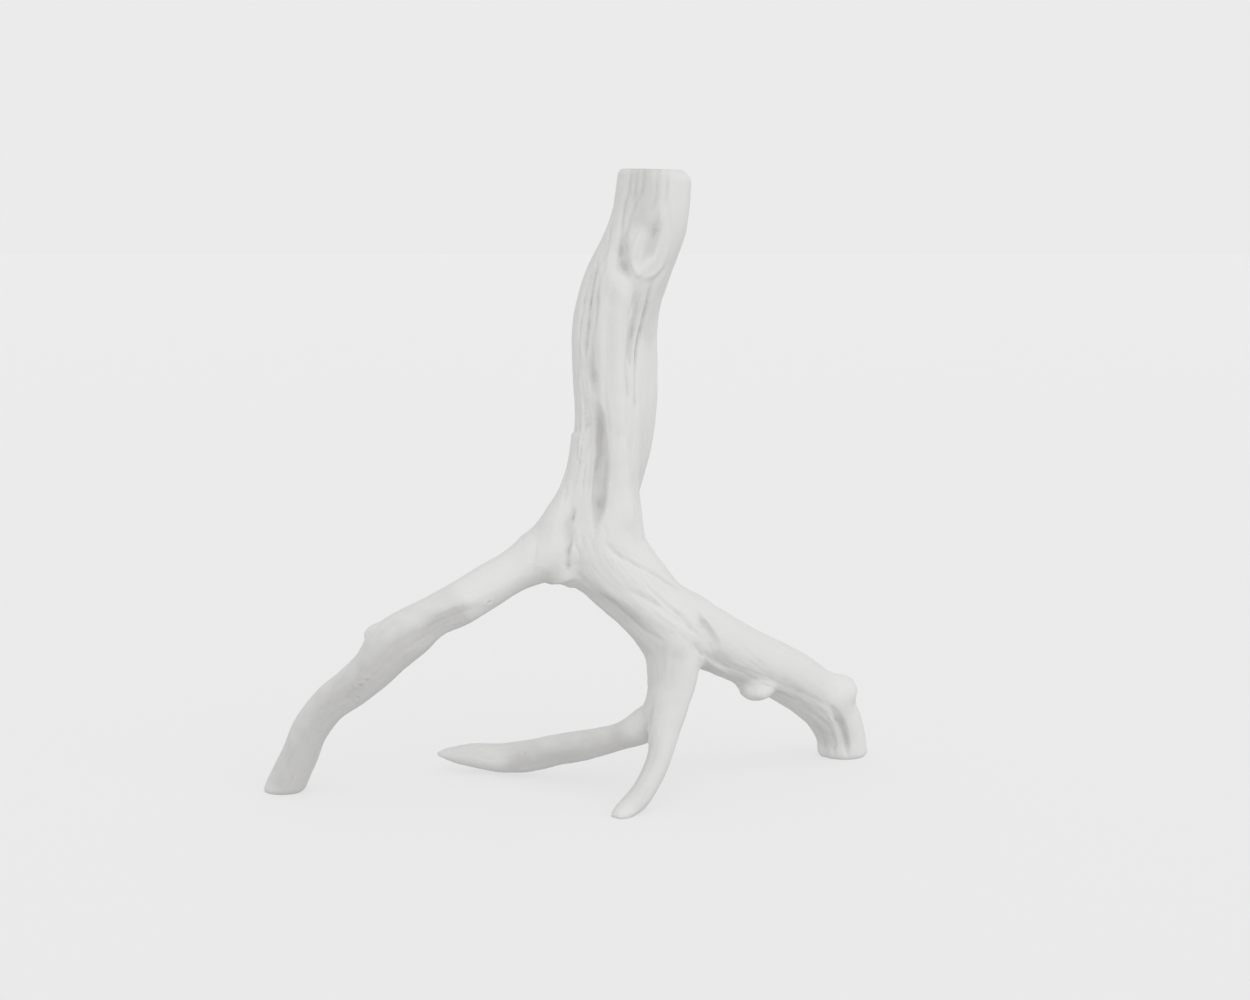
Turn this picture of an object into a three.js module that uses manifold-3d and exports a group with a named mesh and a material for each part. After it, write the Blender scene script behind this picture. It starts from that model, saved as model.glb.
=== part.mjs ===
// A dry tree root that stands on its sawn root ends, grown as one piece of wood.
// Millimetres, +Z up, +X to the right and -Y to the front. The origin is on the floor, under the middle.
import * as THREE from "three";
import { mergeVertices } from "three/addons/utils/BufferGeometryUtils.js";
import Module from "manifold-3d";

const wasm = await Module();
wasm.setup();

// Driving dimensions
const stemTop = 549; // height of the sawn stem end above the floor
const stemCutLean = 1.5; // degrees that the sawn stem end dips to the right
const floorZ = 0; // the root ends are sawn off at this height
const sides = 16; // facets round a limb
const ringSpacing = 9; // distance between the rings of a limb
const slabSize = 800; // blocks that saw off the ends, wider than the root
const boneWhite = 0xdedddb;

// Each limb is a list of stations along its middle line: x, y, z, half width seen from the front,
// half depth. flutes = [how many, how deep as a share of the radius, turns along the limb, phase].
const limbs = {
  stemAndRightRoot: {
    flutes: [5, 0.03, 0.6, 0.4],
    stations: [
      [72, -34, 566, 31, 31],
      [71, -34, 536, 32, 32],
      [67, -34, 506, 33, 33],
      [56, -33, 476, 33, 34],
      [42, -32, 445, 34, 34],
      [32, -31, 411, 32, 34],
      [31, -30, 376, 31, 33],
      [32, -30, 341, 30, 32],
      [30, -30, 310, 30, 32],
      [27, -30, 279, 31, 33],
      [27, -30, 248, 34, 36],
      [30, -29, 215, 37, 38],
      [50, -27, 188, 34.5, 37],
      [75, -22, 163, 30, 35],
      [99, -12, 147, 30, 32],
      [125, 0, 131, 28, 29],
      [152, 16, 115, 26, 27],
      [179, 36, 100, 25, 26],
      [203, 58, 83, 25.5, 25],
      [225, 78, 64, 25, 24],
      [242, 96, 42, 24, 23],
      [251, 107, 20, 23, 23],
      [254, 112, -8, 23.5, 24],
    ],
  },
  // The rounded swelling down the right of the stem, which slips behind it lower down
  stemSwelling: {
    flutes: [3, 0.02, 0.3, 0],
    stations: [
      [75, -22, 502, 11, 14],
      [64, -17, 467, 14, 17],
      [59, -12, 432, 15, 19],
      [57, -9, 392, 17, 21],
      [56, -6, 348, 18, 21],
      [53, -1, 312, 17, 20],
      [46, 4, 280, 16, 19],
      [36, 8, 243, 16, 18],
      [40, 6, 212, 16, 18],
      [66, 2, 174, 14, 16],
    ],
  },
  leftRoot: {
    flutes: [4, 0.03, 0.8, 1.2],
    stations: [
      [24, -30, 235, 21, 24],
      [-6, -33, 224, 27, 27],
      [-29, -38, 213, 24, 25],
      [-51, -44, 201, 19, 20],
      [-74, -52, 188, 19, 19],
      [-98, -60, 174, 19, 19],
      [-121, -66, 163, 18, 19],
      [-140, -68, 150, 21.5, 20],
      [-157, -67, 137, 22.5, 20],
      [-173, -63, 117.5, 19, 19],
      [-193, -57, 99.5, 17.5, 17],
      [-215, -50, 82.5, 16, 16],
      [-232, -42, 60, 16, 16],
      [-244, -36, 33, 16, 17],
      [-258, -31, 3, 17, 18],
      [-264, -28, -14, 18, 18],
    ],
  },
  // The fold of the stem that wraps over the start of the left root
  leftCollar: {
    flutes: [3, 0.02, 0, 0],
    stations: [
      [10, -34, 318, 10, 14],
      [7, -36, 290, 12, 16],
      [-1, -38, 262, 15, 19],
      [-13, -39, 236, 18, 22],
      [-10, -37, 213, 21, 23],
      [-4, -35, 194, 18, 21],
    ],
  },
  frontRoot: {
    flutes: [3, 0.03, 0.5, 2],
    stations: [
      [76, -24, 158, 24.5, 26],
      [87, -30, 129, 24, 25],
      [88, -40, 107, 22, 22],
      [84, -52, 87, 19, 18],
      [80, -64, 67, 15, 15],
      [77, -77, 48, 11, 13],
      [70, -91, 31, 10, 12],
      [59, -105, 15, 10, 11],
      [47, -117, 4, 10, 11],
      [40, -124, -6, 10, 11],
    ],
  },
  pointedRoot: {
    flutes: [3, 0.03, 0.5, 1],
    stations: [
      [84, -50, 80, 16, 15],
      [66, -42, 63, 16, 15],
      [41, -30, 49, 12, 13],
      [14, -12, 38, 13, 13],
      [-13, 6, 30, 13, 13],
      [-41, 22, 20, 14, 13],
      [-67, 33, 15, 13, 13],
      [-93, 42, 15, 11, 11],
      [-109, 46, 15, 8, 8],
      [-127, 49, 16, 3, 3],
    ],
  },
};

// Swellings that stand out from the limbs: middle x, y, z, then the three half sizes.
const swellings = {
  rightFootKnob: [254, 85, 70, 14, 13, 12],
  rightRootLump: [167, 11, 78, 14, 12, 8],
  leftRootStub: [-168, -66, 145, 14, 9, 9],
};

// Values between stations follow the same kind of curve as the middle line.
function between(values, along) {
  const last = values.length - 1;
  const at = Math.min(along * last, last - 1e-6);
  const i = Math.floor(at);
  const t = at - i;
  const [a, b, c, d] = [i - 1, i, i + 1, i + 2].map((k) => values[THREE.MathUtils.clamp(k, 0, last)]);
  const cubic = (2 * b + (c - a) * t + (2 * a - 5 * b + 4 * c - d) * t ** 2 + (3 * (b - c) + d - a) * t ** 3) / 2;
  return THREE.MathUtils.clamp(cubic, Math.min(b, c), Math.max(b, c));
}

// A closed body round a limb's middle line, with oval, slightly fluted rings.
function limbGeometry({ stations, flutes: [count, depth, turns, phase] }) {
  const line = new THREE.CatmullRomCurve3(stations.map(([x, y, z]) => new THREE.Vector3(x, y, z)));
  const rings = Math.round(line.getLength() / ringSpacing);
  const toBack = new THREE.Vector3(0, 1, 0);
  const positions = [];
  for (let r = 0; r <= rings; r++) {
    const along = r / rings;
    const middle = line.getPoint(along);
    const tangent = line.getTangent(along);
    const deepWay = toBack.clone().addScaledVector(tangent, -toBack.dot(tangent)).normalize();
    const acrossWay = deepWay.clone().cross(tangent);
    const across = between(stations.map((s) => s[3]), along);
    const deep = between(stations.map((s) => s[4]), along);
    for (let k = 0; k < sides; k++) {
      const angle = (k / sides) * 2 * Math.PI;
      const swell = 1 + depth * Math.cos(count * angle + turns * 2 * Math.PI * along + phase);
      const p = middle.clone();
      p.addScaledVector(acrossWay, across * swell * Math.cos(angle));
      p.addScaledVector(deepWay, deep * swell * Math.sin(angle));
      positions.push(p.x, p.y, p.z);
    }
  }
  const index = [];
  for (let r = 0; r < rings; r++)
    for (let k = 0; k < sides; k++) {
      const [a, b] = [r * sides + k, r * sides + ((k + 1) % sides)];
      index.push(a, b, a + sides, b, b + sides, a + sides);
    }
  const lastRing = rings * sides;
  for (let k = 1; k < sides - 1; k++) {
    index.push(0, k + 1, k);
    index.push(lastRing, lastRing + k, lastRing + k + 1);
  }
  const geometry = new THREE.BufferGeometry();
  geometry.setAttribute("position", new THREE.Float32BufferAttribute(positions, 3));
  geometry.setIndex(index);
  return geometry;
}

function swellingGeometry([x, y, z, halfX, halfY, halfZ]) {
  return new THREE.SphereGeometry(1, 12, 8).scale(halfX, halfY, halfZ).translate(x, y, z);
}

// A block whose lower face, or upper face, lies at height z.
function slabGeometry(z, above) {
  return new THREE.BoxGeometry(slabSize, slabSize, slabSize).translate(0, 0, z + (above ? 0.5 : -0.5) * slabSize);
}

function toSolid(geometry) {
  const bare = geometry.clone();
  bare.deleteAttribute("normal");
  bare.deleteAttribute("uv");
  const merged = mergeVertices(bare, 1e-3);
  return new wasm.Manifold(
    new wasm.Mesh({
      numProp: 3,
      vertProperties: merged.attributes.position.array,
      triVerts: new Uint32Array(merged.index.array),
    }),
  );
}

function toGeometry(solid) {
  const { vertProperties, triVerts } = solid.getMesh();
  const geometry = new THREE.BufferGeometry();
  geometry.setAttribute("position", new THREE.Float32BufferAttribute(vertProperties, 3));
  geometry.setIndex(new THREE.Uint32BufferAttribute(triVerts, 1));
  geometry.computeVertexNormals();
  return geometry;
}

function dryRootGeometry() {
  const grown = [...Object.values(limbs).map(limbGeometry), ...Object.values(swellings).map(swellingGeometry)];
  let solid = grown.map(toSolid).reduce((all, piece) => all.add(piece));
  const stemSaw = slabGeometry(0, true);
  stemSaw.rotateY(THREE.MathUtils.degToRad(stemCutLean));
  stemSaw.translate(limbs.stemAndRightRoot.stations[0][0], 0, stemTop);
  solid = solid.subtract(toSolid(stemSaw)).subtract(toSolid(slabGeometry(floorZ, false)));
  return toGeometry(solid);
}

const wood = new THREE.MeshStandardMaterial({ color: boneWhite, roughness: 0.85, metalness: 0 });
const root = new THREE.Mesh(dryRootGeometry(), wood);
root.name = "dry_root";

const object = new THREE.Group();
object.add(root);

export default object;
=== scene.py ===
import math

import bmesh
import bpy
import numpy as np
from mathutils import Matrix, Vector, noise
from mathutils.bvhtree import BVHTree


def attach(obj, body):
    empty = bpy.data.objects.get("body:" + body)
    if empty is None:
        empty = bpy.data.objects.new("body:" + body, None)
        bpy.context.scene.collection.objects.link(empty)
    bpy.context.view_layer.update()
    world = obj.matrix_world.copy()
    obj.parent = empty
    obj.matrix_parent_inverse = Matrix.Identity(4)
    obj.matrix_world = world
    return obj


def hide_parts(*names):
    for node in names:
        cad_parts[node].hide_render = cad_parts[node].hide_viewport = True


# A dry tree root that stands on its sawn root ends: one piece of bleached, weathered wood.
# The tables are in millimetres, +X to the right and -Y to the front. The scene is in metres.

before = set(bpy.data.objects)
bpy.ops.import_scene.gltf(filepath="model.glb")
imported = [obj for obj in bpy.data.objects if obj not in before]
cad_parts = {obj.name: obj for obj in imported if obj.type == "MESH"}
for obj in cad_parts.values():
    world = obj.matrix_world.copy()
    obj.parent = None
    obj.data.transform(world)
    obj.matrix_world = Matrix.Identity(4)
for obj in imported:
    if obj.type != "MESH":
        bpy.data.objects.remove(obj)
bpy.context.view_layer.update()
mm = 0.001

# Each limb is a list of stations along its middle line: x, y, z, half width seen from the front,
# half depth. blend is how widely the limb grows into the ones before it.
limbTables = {
    "stemAndRightRoot": {"blend": 0, "stations": [
        (72, -34, 566, 31, 31), (71, -34, 536, 32, 32), (67, -34, 506, 33, 33), (56, -33, 476, 33, 34),
        (42, -32, 445, 34, 34), (32, -31, 411, 32, 34), (31, -30, 376, 31, 33), (32, -30, 341, 30, 32),
        (30, -30, 310, 30, 32), (27, -30, 279, 31, 33), (27, -30, 248, 34, 36), (30, -29, 215, 37, 38),
        (50, -27, 188, 34.5, 37), (75, -22, 163, 30, 35), (99, -12, 147, 30, 32), (125, 0, 131, 28, 29),
        (152, 16, 115, 26, 27), (179, 36, 100, 25, 26), (203, 58, 83, 25.5, 25), (225, 78, 64, 25, 24),
        (242, 96, 42, 24, 23), (251, 107, 20, 23, 23), (254, 112, -8, 23.5, 24)]},
    "stemSwelling": {"blend": 18, "stations": [
        (75, -22, 502, 11, 14), (64, -17, 467, 14, 17), (59, -12, 432, 15, 19), (57, -9, 392, 17, 21),
        (56, -6, 348, 18, 21), (53, -1, 312, 17, 20), (46, 4, 280, 16, 19), (36, 8, 243, 16, 18),
        (40, 6, 212, 16, 18), (66, 2, 174, 14, 16)]},
    "leftRoot": {"blend": 12, "stations": [
        (24, -30, 235, 21, 24), (-6, -33, 224, 27, 27), (-29, -38, 213, 24, 25), (-51, -44, 201, 19, 20),
        (-74, -52, 188, 19, 19), (-98, -60, 174, 19, 19), (-121, -66, 163, 18, 19),
        (-140, -68, 150, 21.5, 20),
        (-157, -67, 137, 22.5, 20), (-173, -63, 117.5, 19, 19), (-193, -57, 99.5, 17.5, 17),
        (-215, -50, 82.5, 16, 16),
        (-232, -42, 60, 16, 16), (-244, -36, 33, 16, 17), (-258, -31, 3, 17, 18),
        (-264, -28, -14, 18, 18)]},
    "leftCollar": {"blend": 6, "stations": [
        (10, -34, 318, 10, 14), (7, -36, 290, 12, 16), (-1, -38, 262, 15, 19), (-13, -39, 236, 18, 22),
        (-10, -37, 213, 21, 23), (-4, -35, 194, 18, 21)]},
    "frontRoot": {"blend": 18, "stations": [
        (76, -24, 158, 24.5, 26), (87, -30, 129, 24, 25), (88, -40, 107, 22, 22), (84, -52, 87, 19, 18),
        (80, -64, 67, 15, 15), (77, -77, 48, 11, 13), (70, -91, 31, 10, 12), (59, -105, 15, 10, 11),
        (47, -117, 4, 10, 11), (40, -124, -6, 10, 11)]},
    "pointedRoot": {"blend": 8, "stations": [
        (84, -50, 80, 16, 15), (66, -42, 63, 16, 15), (41, -30, 49, 12, 13), (14, -12, 38, 13, 13),
        (-13, 6, 30, 13, 13), (-41, 22, 20, 14, 13), (-67, 33, 15, 13, 13), (-93, 42, 15, 11, 11),
        (-109, 46, 15, 8, 8), (-121, 48, 15, 4.5, 4.5), (-130, 49, 15, 1, 1)]},
}

# Rounded swellings: middle x, y, z, the three half sizes, and how widely they blend in.
swellings = {
    "rightFootKnob": (252, 85, 69, 11, 12, 10, 18),
    "rightRootLump": (165, 12, 81, 14, 13, 7.5, 15),
    "innerCorner": (3, -33, 193, 16, 16, 8.5, 10),
    "leftRootStub": (-167, -66, 150, 12, 9, 7, 4),
    "leftRootStubTip": (-176, -66, 147, 5, 5, 4, 3),
}

body = {
    "step": 3.0,          # distance between the samples of a limb's middle line
    "sides": 24,          # facets round a swept limb
    "roughSkin": 3.0,     # voxel of the first skin round the swept limbs
    "fineSkin": 1.5,      # voxel of the finished skin, which carries all the detail
    "mostTriangles": 195000,   # the finished skin is thinned to this
    "sawnTop": (72, 549),  # x and z of the middle of the sawn stem end
    "sawnLean": 1.5,      # degrees that it dips to the right
}


# A place on the smooth curve through a table's rows, at share t of the way from row i to the next
def curvePlace(table, i, t):
    last = len(table) - 1
    a, b, c, d = (table[min(max(k, 0), last)] for k in (i - 1, i, i + 1, i + 2))
    return (2 * b + (c - a) * t + (2 * a - 5 * b + 4 * c - d) * t ** 2
            + (3 * (b - c) + d - a) * t ** 3) / 2


# How far along a line each of its places lies
def travelledAlong(line):
    return np.concatenate([[0], np.cumsum(np.linalg.norm(np.diff(line, axis=0), axis=1))])


class Limb:
    # a limb's middle line in small even steps, with its two cross directions and half sizes
    def __init__(self, stations, blend):
        table = np.array(stations, float) * mm
        shares = np.linspace(0, 1, 24, endpoint=False)
        fine = [curvePlace(table, i, t) for i in range(len(table) - 1) for t in shares]
        fine = np.array(fine + [table[-1]])
        travelled = travelledAlong(fine[:, :3])
        self.along = np.arange(0, travelled[-1], body["step"] * mm)
        even = np.stack([np.interp(self.along, travelled, fine[:, k]) for k in range(5)], axis=1)
        self.middle, self.half = even[:, :3], even[:, 3:]
        self.slope = np.gradient(self.half, self.along, axis=0)
        self.tangent = unit(np.gradient(self.middle, axis=0))
        self.deep = unit(np.array([0, 1, 0]) - self.tangent * self.tangent[:, 1:2])
        self.across = np.cross(self.deep, self.tangent)
        self.blend = blend * mm

    # distance to the limb's surface, and the place beside and along the limb
    def measure(self, points):
        parts = np.array_split(points, len(points) // 20000 + 1)
        near = np.concatenate([self.nearest(part) for part in parts])
        offset = points - self.middle[near]
        beside = (offset * self.across[near]).sum(1)
        behind = (offset * self.deep[near]).sum(1)
        ahead = (offset * self.tangent[near]).sum(1)
        step = body["step"] * mm
        half = self.half[near] + self.slope[near] * np.clip(ahead, -step, step)[:, None]
        half = np.maximum(half, 0.5 * mm)
        share = np.hypot(beside / half[:, 0], behind / half[:, 1])
        reach = np.hypot(beside, behind)
        distance = np.where(share > 0.1, reach * (1 - 1 / np.maximum(share, 0.1)), -half.min(1))
        past = np.where(near == 0, -ahead, np.where(near == len(self.middle) - 1, ahead, -1))
        outside = np.hypot(np.maximum(distance, 0), np.maximum(past, 0))
        capped = outside + np.minimum(np.maximum(distance, past), 0)
        distance = np.where(past > -step, capped, distance)
        return distance, np.stack([beside, behind, self.along[near] + ahead], axis=1)

    def nearest(self, points):
        squared = (self.middle ** 2).sum(1)[None, :] - 2 * points @ self.middle.T
        return squared.argmin(1)


def unit(vectors):
    return vectors / np.maximum(np.linalg.norm(vectors, axis=-1, keepdims=True), 1e-12)


def smoothMin(a, b, width):
    near = np.maximum(width - np.abs(a - b), 0) / max(width, 1e-9)
    return np.minimum(a, b) - near ** 2 * width / 4


def ease(low, high, value):
    t = np.clip((value - low) / (high - low), 0, 1)
    return t * t * (3 - 2 * t)


def sawPlanes():
    lean = math.radians(body["sawnLean"])
    topX, topZ = body["sawnTop"]
    return [(np.array([topX, 0, topZ]) * mm, np.array([math.sin(lean), 0, math.cos(lean)])),
            (np.zeros(3), np.array([0, 0, -1.0]))]


ribEnds = {
    "fadeShare": 0.4,     # how much of a rib or a hollow its end may take up
    "ribFade": 16,        # the longest end of a rib
    "hollowFade": 40,     # the longest end of a hollow
}


class Rib:
    # a round line laid on the skin, with a radius that dwindles towards its ends
    def __init__(self, radius, height, blend, path, tree, side):
        line = laidLine(path, tree, side)
        travelled = travelledAlong(line[:, :3])
        self.hollow = height < 0
        longest = ribEnds["hollowFade" if self.hollow else "ribFade"] * mm
        fade = min(ribEnds["fadeShare"] * travelled[-1], longest)
        full = ease(0, fade, travelled) * ease(0, fade, travelled[-1] - travelled)
        self.blend = blend * mm
        self.radius = radius * mm * (0.5 + 0.5 * full)
        shown = abs(height) * mm * full - 0.35 * self.blend * (1 - full)
        lift = (self.radius - shown) * (1 if self.hollow else -1)
        self.middle = line[:, :3] + line[:, 3:] * lift[:, None]
        self.tangent = unit(np.gradient(self.middle, axis=0))
        self.gap = travelled[-1] / len(travelled)

    # the shape's distance with this rib added or this hollow cut
    def grow(self, points, distance):
        reach = self.radius.max() + 2 * self.blend + 6 * mm
        low, high = self.middle.min(0) - reach, self.middle.max(0) + reach
        near = np.flatnonzero(((points > low) & (points < high)).all(1))
        here = points[near]
        spot = ((self.middle ** 2).sum(1)[None, :] - 2 * here @ self.middle.T).argmin(1)
        offset = here - self.middle[spot]
        ahead = np.clip((offset * self.tangent[spot]).sum(1), -self.gap, self.gap)
        away = np.linalg.norm(offset - ahead[:, None] * self.tangent[spot], axis=1) - self.radius[spot]
        result = distance.copy()
        if self.hollow:
            result[near] = -smoothMin(-distance[near], away, self.blend)
        else:
            result[near] = smoothMin(distance[near], away, self.blend)
        return result


# A hollow that has a slope is two cuts: a round one at its sharp edge and a wide shallow one
# beside it
def ribParts(radius, height, blend, slope, path):
    if not slope:
        return [(radius, height, blend, path)]
    half = math.copysign(math.sqrt(radius ** 2 - (radius + height) ** 2), slope)
    return [(radius, height, blend, besidePath(path, half)),
            (2.4 * abs(slope), 0.65 * height, 0.6 * abs(slope), besidePath(path, half + 0.75 * slope))]


def besidePath(path, shift):
    path = np.array(path, float)
    way = unit(np.gradient(path, axis=0))
    return path + shift * np.stack([way[:, 1], -way[:, 0]], axis=1)


# How far points lie outside the grown shape, before it is sawn
def bodyDistance(points):
    result = None
    for limb in limbs.values():
        distance, _ = limb.measure(points)
        result = distance if result is None else smoothMin(result, distance, limb.blend)
    for x, y, z, *half, blend in swellings.values():
        offset = (points - np.array([x, y, z]) * mm) / (np.array(half) * mm)
        length = np.linalg.norm(offset, axis=1)
        away = np.linalg.norm(offset * np.array(half) * mm, axis=1)
        distance = (length - 1) * away / np.maximum(length, 1e-6)
        result = smoothMin(result, distance, blend * mm)
    for rib in ribs:
        result = rib.grow(points, result)
    return result


# A tree that sweeps a round section along each limb and makes one skin round them all
def sweepTree():
    tree = bpy.data.node_groups.new("limbSweep", "GeometryNodeTree")
    sockets = {}
    tree.interface.new_socket("Geometry", in_out="INPUT", socket_type="NodeSocketGeometry")
    tree.interface.new_socket("Geometry", in_out="OUTPUT", socket_type="NodeSocketGeometry")
    for name, kind in (("Sides", "Int"), ("Voxel", "Float"), ("Wood", "Material")):
        socket = tree.interface.new_socket(name, in_out="INPUT", socket_type="NodeSocket" + kind)
        sockets[name] = socket.identifier

    def add(kind, settings=None, **values):
        node = tree.nodes.new(kind)
        for key, value in (settings or {}).items():
            setattr(node, key, value)
        for key, value in values.items():
            socket = node.inputs[key.replace("_", " ")]
            if hasattr(value, "is_linked"):
                tree.links.new(value, socket)
            else:
                socket.default_value = value
        return node

    given = add("NodeGroupInput")
    section = add("GeometryNodeCurvePrimitiveCircle", Resolution=given.outputs["Sides"], Radius=1.0)
    radius = add("GeometryNodeInputRadius")
    swept = add("GeometryNodeCurveToMesh", Curve=given.outputs["Geometry"],
                Profile_Curve=section.outputs["Curve"], Scale=radius.outputs["Radius"], Fill_Caps=True)
    solid = add("GeometryNodeMeshToVolume", {"resolution_mode": "VOXEL_SIZE"}, Mesh=swept.outputs["Mesh"],
                Voxel_Size=given.outputs["Voxel"], Interior_Band_Width=0.006)
    skin = add("GeometryNodeVolumeToMesh", {"resolution_mode": "VOXEL_SIZE"}, Volume=solid.outputs["Volume"],
               Voxel_Size=given.outputs["Voxel"], Threshold=0.1)
    real = add("GeometryNodeRealizeInstances", Geometry=skin.outputs["Mesh"])
    wood = add("GeometryNodeSetMaterial", Geometry=real.outputs["Geometry"], Material=given.outputs["Wood"])
    tree.links.new(wood.outputs["Geometry"], add("NodeGroupOutput").inputs["Geometry"])
    return tree, sockets


def sweepLimbs(wood):
    curve = bpy.data.curves.new("limbLines", "CURVE")
    curve.dimensions = "3D"
    lines = [(limb.middle, limb.half.mean(1)) for limb in limbs.values()]
    for x, y, z, halfX, _, halfZ, _ in swellings.values():
        middle = np.array([x, y, z]) * mm
        upwards = np.array([0, 0, 0.3 * halfZ * mm])
        lines.append((np.array([middle - upwards, middle + upwards]), np.full(2, 0.8 * halfX * mm)))
    for middle, radius in lines:
        spline = curve.splines.new("POLY")
        spline.points.add(len(middle) - 1)
        spline.points.foreach_set("co", np.c_[middle, np.ones(len(middle))].ravel())
        spline.points.foreach_set("radius", radius)
    rough = bpy.data.objects.new("limbLines", curve)
    bpy.context.collection.objects.link(rough)
    tree, sockets = sweepTree()
    sweep = rough.modifiers.new("limbSweep", "NODES")
    sweep.node_group = tree
    sweep[sockets["Sides"]] = body["sides"]
    sweep[sockets["Voxel"]] = body["roughSkin"] * mm
    sweep[sockets["Wood"]] = wood
    bpy.context.view_layer.update()
    mesh = bpy.data.meshes.new_from_object(rough.evaluated_get(bpy.context.evaluated_depsgraph_get()))
    bpy.data.objects.remove(rough)
    bpy.data.curves.remove(curve)
    return mesh


sawnEnds = {
    "rings": 12,            # loops of faces from the edge of a sawn end to its middle
    "crackDepth": 1.6,
    "cracks": ((0.6, 0.9), (1.9, 0.6), (3.3, 1.0), (4.4, 0.5),
    (5.4, 0.8)),   # angle, and how far each opens
    "topRounding": ((3.0, 5.0), (7.5, 10.0)),   # how far in and how far down, on the left and on the right
    "footRounding": (2.2, 4.5),
}


# Wood goes in a little towards each saw cut, which rounds its edge
def roundEnds(points, way):
    outward = way * (1, 1, 0)
    outward = unit(outward) * ease(0.2, 0.7, np.linalg.norm(outward, axis=1))[:, None]
    (middle, plane), (_, floorWay) = sawPlanes()
    onRight = ease(45 * mm, 100 * mm, points[:, 0])
    (leftIn, leftDown), (rightIn, rightDown) = sawnEnds["topRounding"]
    depth = leftIn + (rightIn - leftIn) * onRight
    down = leftDown + (rightDown - leftDown) * onRight
    below = np.maximum((middle - points) @ plane, 0) / mm
    atSides = 0.2 + 0.8 * ease(0.5, 0.9, np.abs(outward[:, 0]))
    top = depth * atSides * np.maximum(1 - below / down, 0) ** 2
    footDepth, footDown = sawnEnds["footRounding"]
    foot = footDepth * np.maximum(1 - np.maximum(-points @ floorWay, 0) / mm / footDown, 0) ** 2
    return -outward * ((top + foot) * mm)[:, None]


def sawEnds(mesh):
    work = bmesh.new()
    work.from_mesh(mesh)
    for middle, way in sawPlanes():
        cut = bmesh.ops.bisect_plane(work, geom=work.verts[:] + work.edges[:] + work.faces[:], dist=1e-5,
                                     plane_co=middle, plane_no=way, clear_outer=True)
        edges = {item for item in cut["geom_cut"] if isinstance(item, bmesh.types.BMEdge)}
        while edges:
            closeEnd(work, takeLoop(edges), way)
    bmesh.ops.triangulate(work, faces=[face for face in work.faces if len(face.verts) > 4])
    bmesh.ops.recalc_face_normals(work, faces=work.faces)
    work.to_mesh(mesh)
    work.free()


# The next closed loop of cut edges, as its corners in order
def takeLoop(edges):
    edge = edges.pop()
    first, corner = edge.verts
    loop = [first]
    while corner != first:
        loop.append(corner)
        edge = next(other for other in corner.link_edges if other in edges)
        edges.discard(edge)
        corner = edge.other_vert(corner)
    return loop


# A sawn end is closed with loops of faces that run round the pith, with drying cracks in it
def closeEnd(work, loop, way):
    rim = np.array([corner.co for corner in loop])
    pith = rim.mean(0)
    across = rim - pith
    angle = np.arctan2(across[:, 1], across[:, 0])
    width = np.linalg.norm(across, axis=1)
    opened = np.zeros(len(rim))
    for turn, share in sawnEnds["cracks"]:
        away = np.abs((angle - turn + math.pi) % (2 * math.pi) - math.pi) * width
        opened += share * np.exp(-(away / (1.3 * mm)) ** 2)
    before = loop
    for k in range(1, sawnEnds["rings"]):
        inward = (k / sawnEnds["rings"]) ** 1.2
        dip = opened * sawnEnds["crackDepth"] * mm * ease(0, 0.25, inward) * ease(1, 0.5, inward)
        dip = dip + 0.12 * mm * (k % 2)
        ring = [work.verts.new(place) for place in rim - across * inward - np.outer(dip, way)]
        closeRing(work, before, ring)
        before = ring
    last = work.verts.new(pith)
    for i in range(len(before)):
        work.faces.new((before[i - 1], before[i], last))


def closeRing(work, outer, inner):
    for i in range(len(outer)):
        work.faces.new((outer[i - 1], outer[i], inner[i], inner[i - 1]))


def fineSkin(mesh):
    holder = bpy.data.objects.new("fineSkin", mesh)
    bpy.context.collection.objects.link(holder)
    skin = holder.modifiers.new("skin", "REMESH")
    skin.mode = "VOXEL"
    skin.voxel_size = body["fineSkin"] * mm
    bpy.context.view_layer.update()
    fine = bpy.data.meshes.new_from_object(holder.evaluated_get(bpy.context.evaluated_depsgraph_get()))
    bpy.data.objects.remove(holder)
    return fine


# Merges the smallest faces where the skin is smooth
def thinSkin(mesh):
    faces = sum(len(face.vertices) - 2 for face in mesh.polygons)
    holder = bpy.data.objects.new("thinSkin", mesh)
    bpy.context.collection.objects.link(holder)
    thin = holder.modifiers.new("thin", "DECIMATE")
    thin.ratio = min(body["mostTriangles"] / faces, 1)
    bpy.context.view_layer.update()
    result = bpy.data.meshes.new_from_object(holder.evaluated_get(bpy.context.evaluated_depsgraph_get()))
    bpy.data.objects.remove(holder)
    return result


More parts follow.
